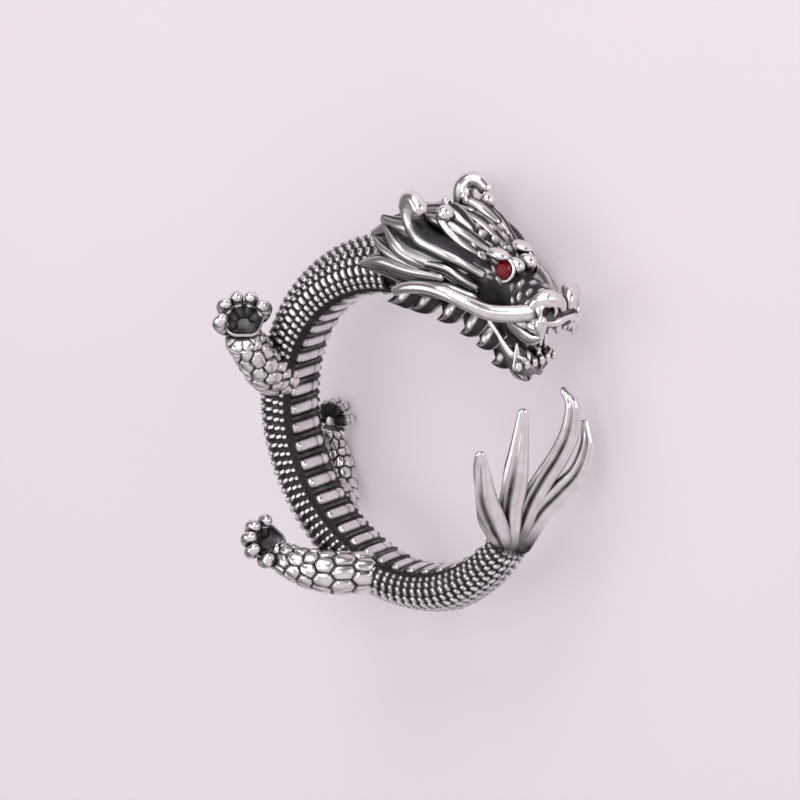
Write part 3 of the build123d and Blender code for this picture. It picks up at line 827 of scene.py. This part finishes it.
CREASES = {
    # depth, how far along the blade its oxide reaches
    "near": (0.12, 0.85),
    "middle": (0.12, 0.85),
    "far": (0.18, 0.95),
    "rear": (0.18, 0.95),
}


def blade_relief(depth, reach):
    """Polished blade creased along its flat sides, dark in the crease as far as reach."""
    def relief(u, q):
        crease = bell(np.cos(q) - 0.15, 0.22)
        ends = ease(u, 0.0, 0.1) * ease(u, 1.0, 0.8)
        root = ease(u, 0.16, 0.0)
        return -depth * crease * ends, np.maximum(crease * ease(u, reach, 0.5 * reach), 0.9 * root)
    return relief


def tail_parts():
    angle = BODY_START + PLATE_PITCH * PLATE_COUNT
    root = polar(BORE_RADIUS + 0.5 * BODY_DEPTH * BODY_ROWS[-1][1], angle)
    parts = []
    for name, rows in BLADES.items():
        rows = spline(rows, 90)
        path = root + rows[:, :3] * (TAIL_LENGTH, TAIL_LENGTH, TAIL_SPREAD)
        wide = BLADE_WIDTH * rows[:, 3]
        relief = blade_relief(*CREASES[name])
        parts.append(tube(path, wide, BLADE_FLATNESS * wide, (0.6, 0.0, 0.8), relief, 64))
    return parts


# Each leg leaves the body at its hip angle, toward the near side (1) or the far side (-1).
# points is where the toes point and palm is where the palm faces: outward, ahead and across.
LEGS = {
    "near_fore": {
        "hip": 168.0,
        "side": 1,
        "paw": 1.0,
        "route": [
            # outward, ahead, across, thickness
            (0.00, -0.12, 0.10, 1.0),
            (0.06, -0.02, 0.36, 1.15),
            (0.11, 0.14, 0.58, 1.1),
            (0.16, 0.33, 0.80, 0.95),
            (0.15, 0.45, 0.90, 0.9),
        ],
        "points": (0.63, 0.51, -0.59),
        "palm": (-0.24, 0.84, 0.47),
        "palm_oxide": 0.88,
    },
    "near_hind": {
        "hip": 253.0,
        "side": 1,
        "paw": 0.9,
        "route": [
            (0.00, -0.08, 0.15, 1.0),
            (0.08, 0.16, 0.50, 1.1),
            (0.12, 0.39, 0.70, 0.98),
            (0.11, 0.58, 0.80, 0.8),
            (0.05, 0.71, 0.83, 0.7),
        ],
        "points": (-0.25, 0.72, 0.60),
        "palm": (-0.80, -0.30, 0.50),
        "palm_oxide": 0.88,
    },
    "far_fore": {
        "hip": 222.0,
        "side": -1,
        "paw": 0.72,
        "route": [
            (0.03, -0.02, 0.25, 1.0),
            (0.14, 0.05, 0.60, 1.0),
            (0.11, 0.28, 0.78, 0.8),
            (0.00, 0.49, 0.84, 0.6),
            (-0.14, 0.62, 0.815, 0.6),
        ],
        "points": (-0.3, 0.95, 0.0),
        "palm": (0.1, 0.0, 1.0),
        "palm_oxide": 0.6,
    },
    "far_hind": {
        "hip": 260.0,
        "side": -1,
        "paw": 0.8,
        "route": [
            (0.04, 0.03, 0.15, 0.8),
            (0.09, 0.02, 0.36, 0.85),
            (0.14, -0.02, 0.56, 0.8),
            (0.15, -0.05, 0.78, 0.7),
        ],
        "points": (0.95, -0.2, 0.2),
        "palm": (0.0, 0.0, 1.0),
        "palm_oxide": 0.6,
    },
}
HIP_DEPTH = 0.45
# The wrist shifts to the back of the palm, and the palm's middle lies ahead of it
WRIST_SHIFT = 0.42
PALM_AHEAD = 0.5
LEG_SCALE_ROWS = 8
LEG_SCALES_ROUND = 8
LEG_SCALE_HEIGHT = 0.28
TOE_FAN = (-105, -55, -18, 18, 60)
TOE_ROUTE = [
    # out from the palm, up from the palm, thickness
    (0.50, -0.30, 1.15),
    (0.80, -0.20, 1.2),
    (0.96, 0.02, 1.1),
    (0.99, 0.22, 0.95),
    (0.86, 0.36, 0.95),
]
# Palm: shares of the paw's radius across and up, from its back over the rim to its hollow
PAW_ROWS = [
    (0.02, -0.46),
    (0.42, -0.42),
    (0.68, -0.26),
    (0.80, -0.04),
    (0.82, 0.06),
    (0.74, 0.08),
    (0.60, -0.10),
    (0.30, -0.20),
    (0.02, -0.22),
]
PAW_STEPS = 40
PAW_SIDES = 60
PAW_DENTS = 0.05
# The oxide of the hollow sets in between these steps
HOLLOW_STEPS = (18, 26)


def knuckles(u, q):
    """Two soft folds across a toe, whose root is dark."""
    fold = bell(u - 0.45, 0.05) + bell(u - 0.72, 0.05)
    return -0.04 * fold + 0 * q, np.maximum(0.6 * fold, 0.95 * ease(u, 0.42, 0.22)) + 0 * q


def leg_scales(u, q):
    """Domed scales in staggered rings, parted by dark lines."""
    best = np.full((u * q).shape, 9.0)
    second = np.full(best.shape, 9.0)
    row = u * (LEG_SCALE_ROWS - 0.5)
    col = q / (2 * math.pi) * LEG_SCALES_ROUND
    for step in (-1, 0, 1):
        r = np.floor(row) + step
        shift = 0.5 * (r % 2)
        for move in (-1, 0, 1):
            c = np.floor(col - shift) + move
            # Each scale stands a little off its place
            odd = 0.12 * np.sin(12.9 * r + 78.2 * (c % LEG_SCALES_ROUND))
            d = np.hypot(row - (r + 0.5 + odd), col - (c + 0.5 + shift + odd))
            second = np.minimum(second, np.maximum(best, d))
            best = np.minimum(best, d)
    line = ease(second - best, 0.02, 0.24)
    dome = line * (1 - 0.5 * best)
    return LEG_SCALE_HEIGHT * (dome - 0.45), 1 - ease(line, *WORN)


def leg_parts(leg):
    across = leg["side"] * (NEAR_REACH if leg["side"] > 0 else REST_DEPTH)
    axes = np.array([polar(1, leg["hip"]), polar(1, leg["hip"] - 90), (0, 0, leg["side"])])
    hip = polar(BORE_RADIUS + HIP_DEPTH * BODY_DEPTH, leg["hip"])
    rows = spline(leg["route"], 110)
    path = hip + LEG_REACH * (rows[:, [0]] * axes[0] + rows[:, [1]] * axes[1])
    path[:, 2] += across * rows[:, 2]
    wide = LEG_THICKNESS * rows[:, 3]
    points = unit(np.array(leg["points"]) @ axes)
    palm = np.array(leg["palm"]) @ axes
    palm = unit(palm - points * (palm @ points))
    span = np.cross(points, palm)
    paw = PAW_RADIUS * leg["paw"]
    centre = path[-1] + points * PALM_AHEAD * paw
    reach = np.linspace(0, 1, len(path))[:, None]
    path = path - palm * paw * WRIST_SHIFT * ease(reach, 0.6, 1.0)
    parts = [tube(path, wide, wide, (0.3, 0.3, 0.9), leg_scales, 96, 0.3)]
    profile = spline(PAW_ROWS, PAW_STEPS)
    turns = (2 * math.pi * np.arange(PAW_SIDES) / PAW_SIDES)[None, :, None]
    ring = points * np.cos(turns) + span * np.sin(turns)
    dents = 1 + PAW_DENTS * np.cos(5 * turns)
    rings = centre + paw * (profile[:, 0, None, None] * dents * ring + profile[:, 1, None, None] * palm)
    inside = leg["palm_oxide"] * ease(np.arange(PAW_STEPS), *HOLLOW_STEPS)[:, None]
    parts.append(outward(skin(rings, inside + 0 * turns[:, :, 0])))
    toe = spline(TOE_ROUTE, 36)
    thick = TOE_THICKNESS * leg["paw"] * toe[:, 2]
    for turn in TOE_FAN:
        way = math.cos(math.radians(turn)) * points + math.sin(math.radians(turn)) * span
        route = centre + paw * (toe[:, [0]] * way + toe[:, [1]] * palm)
        parts.append(tube(route, thick, thick, np.cross(way, palm), knuckles, 28))
    return parts


def shader(name):
    material = bpy.data.materials.new(name)
    material.use_nodes = True
    return material, material.node_tree.nodes, material.node_tree.links


def node(nodes, kind, **values):
    """A new node with its sockets set. An underscore stands for the space in a socket's name."""
    made = nodes.new("ShaderNode" + kind)
    for socket, value in values.items():
        made.inputs[socket.replace("_", " ")].default_value = value
    return made


def noise(nodes, links, **values):
    """Noise that is fixed to the object."""
    place = node(nodes, "TexCoord")
    cloud = node(nodes, "TexNoise", **values)
    links.new(place.outputs["Object"], cloud.inputs["Vector"])
    return cloud.outputs["Fac"]


def joined(nodes, links, operation, first, second):
    """Two values put together by a sum or the like, kept between 0 and 1."""
    made = node(nodes, "Math")
    made.operation = operation
    made.use_clamp = True
    links.new(first, made.inputs[0])
    links.new(second, made.inputs[1])
    return made.outputs[0]


def ranged(nodes, links, value, **values):
    """A value carried from one range to another."""
    made = node(nodes, "MapRange", **values)
    links.new(value, made.inputs["Value"])
    return made.outputs["Result"]


def mixed(nodes, links, share, first, second):
    """A colour between two, by a share."""
    made = node(nodes, "Mix")
    made.data_type = "RGBA"
    made.inputs["A"].default_value = first
    made.inputs["B"].default_value = second
    links.new(share, made.inputs["Factor"])
    return made.outputs["Result"]


def silver_material():
    """Polished silver, darkened by the skins' oxide, in hollows and in faint clouds."""
    material, nodes, links = shader("oxidised_silver")
    surface = nodes["Principled BSDF"]
    surface.inputs["Metallic"].default_value = 1.0
    oxide = node(nodes, "Attribute")
    oxide.attribute_name = "oxide"
    hollow = node(nodes, "AmbientOcclusion", Distance=1.1 * MM)
    hollow.samples = 8
    shade = ranged(nodes, links, hollow.outputs["AO"], From_Min=0.80, From_Max=0.32)
    cloud = noise(nodes, links, Scale=900.0, Detail=6.0)
    patchy = ranged(nodes, links, cloud, From_Min=0.35, From_Max=0.75, To_Min=-0.04, To_Max=0.22)
    total = joined(nodes, links, "MAXIMUM", oxide.outputs["Fac"], shade)
    total = joined(nodes, links, "ADD", total, patchy)
    colour = mixed(nodes, links, total, (0.84, 0.81, 0.81, 1), (0.048, 0.044, 0.050, 1))
    links.new(colour, surface.inputs["Base Color"])
    rough = ranged(nodes, links, total, To_Min=0.20, To_Max=0.50)
    links.new(rough, surface.inputs["Roughness"])
    grain = noise(nodes, links, Scale=2600.0, Detail=4.0)
    bump = node(nodes, "Bump", Strength=0.18, Distance=0.03 * MM)
    links.new(grain, bump.inputs["Height"])
    links.new(bump.outputs["Normal"], surface.inputs["Normal"])
    return material


def ruby_material():
    """Deep red glass with faint clouds."""
    material, nodes, links = shader("red_stone")
    surface = nodes["Principled BSDF"]
    surface.inputs["Roughness"].default_value = 0.04
    surface.inputs["IOR"].default_value = 1.5
    surface.inputs["Specular IOR Level"].default_value = 0.25
    surface.inputs["Transmission Weight"].default_value = 0.2
    cloud = noise(nodes, links, Scale=1500.0)
    colour = mixed(nodes, links, cloud, (0.12, 0.0004, 0.004, 1), (0.30, 0.001, 0.010, 1))
    links.new(colour, surface.inputs["Base Color"])
    return material


def floor_material():
    """Pale rose floor with faint clouds, which glows a little so that it stays even."""
    material, nodes, links = shader("pale_floor")
    surface = nodes["Principled BSDF"]
    surface.inputs["Roughness"].default_value = 0.6
    cloud = noise(nodes, links, Scale=30.0)
    colour = mixed(nodes, links, cloud, (0.498, 0.446, 0.486, 1), (0.518, 0.466, 0.506, 1))
    links.new(colour, surface.inputs["Base Color"])
    links.new(colour, surface.inputs["Emission Color"])
    surface.inputs["Emission Strength"].default_value = 0.62
    return material


silver = silver_material()
ruby = ruby_material()
piece("body_fore", [body_part(0, PLATE_COUNT // 2)])
piece("body_hind", [body_part(PLATE_COUNT // 2, PLATE_COUNT)])
piece("head", head_parts())
piece("mane", mane_parts())
piece("tail", tail_parts())
for name, leg in LEGS.items():
    piece("leg_" + name, leg_parts(leg))
for name in ("eye_stone_left", "eye_stone_right"):
    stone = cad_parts[name]
    stone.data.materials.clear()
    stone.data.materials.append(ruby)

# The floor is level with the lowest point
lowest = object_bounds()[0].z
bpy.ops.mesh.primitive_plane_add(size=2.0, location=(0, 0, min(lowest, cad_box[0].z)))
floor = bpy.context.object
floor.name = "floor"
floor.data.materials.append(floor_material())

# Camera: directions from the ring toward it and to its right, and its shift to the right and up
CAMERA_AWAY = (0.6287, 0.2999, 0.7176)
CAMERA_RIGHT = (0.7522, 0.0, -0.6590)
CAMERA_DISTANCE = 400.0
CAMERA_SHIFT = (-0.753, 1.954)
CAMERA_LENS = 265.3
away = Vector(CAMERA_AWAY).normalized()
right = Vector(CAMERA_RIGHT).normalized()
up = away.cross(right)
lens = bpy.data.cameras.new("camera")
lens.lens = CAMERA_LENS
lens.sensor_width = 36.0
lens.clip_start = 0.01
lens.clip_end = 10.0
camera = bpy.data.objects.new("camera", lens)
bpy.context.scene.collection.objects.link(camera)
spin = Matrix((right, up, away)).transposed().to_4x4()
where = (away * CAMERA_DISTANCE + right * CAMERA_SHIFT[0] + up * CAMERA_SHIFT[1]) * MM
camera.matrix_world = Matrix.Translation(where) @ spin
bpy.context.scene.camera = camera

# Soft boxes, in metres and watts. Each stands above the floor.
LIGHTS = {
    # direction to the camera's right, up and toward it, distance, width, power
    "key": ((-0.45, 1.0, 0.75), 0.34, 0.20, 0.50),
    "front": ((-0.42, 0.22, 1.0), 0.45, 0.19, 0.34),
    "fill": ((1.0, 0.35, 0.55), 0.36, 0.16, 0.25),
    "low": ((-1.0, -0.05, 0.35), 0.36, 0.30, 0.36),
}
LEAST_RISE = 0.15
for name, (way, distance, size, power) in LIGHTS.items():
    lamp = bpy.data.lights.new(name, "AREA")
    lamp.shape = "SQUARE"
    lamp.size = size
    lamp.energy = power
    box = bpy.data.objects.new(name, lamp)
    aim = (right * way[0] + up * way[1] + away * way[2]).normalized()
    aim.z = max(aim.z, LEAST_RISE)
    aim.normalize()
    box.location = aim * distance
    box.rotation_mode = "QUATERNION"
    box.rotation_quaternion = aim.to_track_quat("Z", "Y")
    bpy.context.scene.collection.objects.link(box)

# A dim room, brighter in front of the ring and below the camera
world = bpy.data.worlds.new("studio")
world.use_nodes = True
nodes, links = world.node_tree.nodes, world.node_tree.links
toward = node(nodes, "VectorMath")
toward.operation = "DOT_PRODUCT"
toward.inputs[1].default_value = (away - 0.9 * up).normalized()
links.new(node(nodes, "TexCoord").outputs["Generated"], toward.inputs[0])
dim = ranged(nodes, links, toward.outputs["Value"], From_Min=0.30, From_Max=0.90, To_Min=0.22, To_Max=0.85)
links.new(dim, nodes["Background"].inputs["Strength"])
nodes["Background"].inputs["Color"].default_value = (0.92, 0.86, 0.92, 1)
bpy.context.scene.world = world
bpy.context.scene.view_settings.view_transform = "Standard"
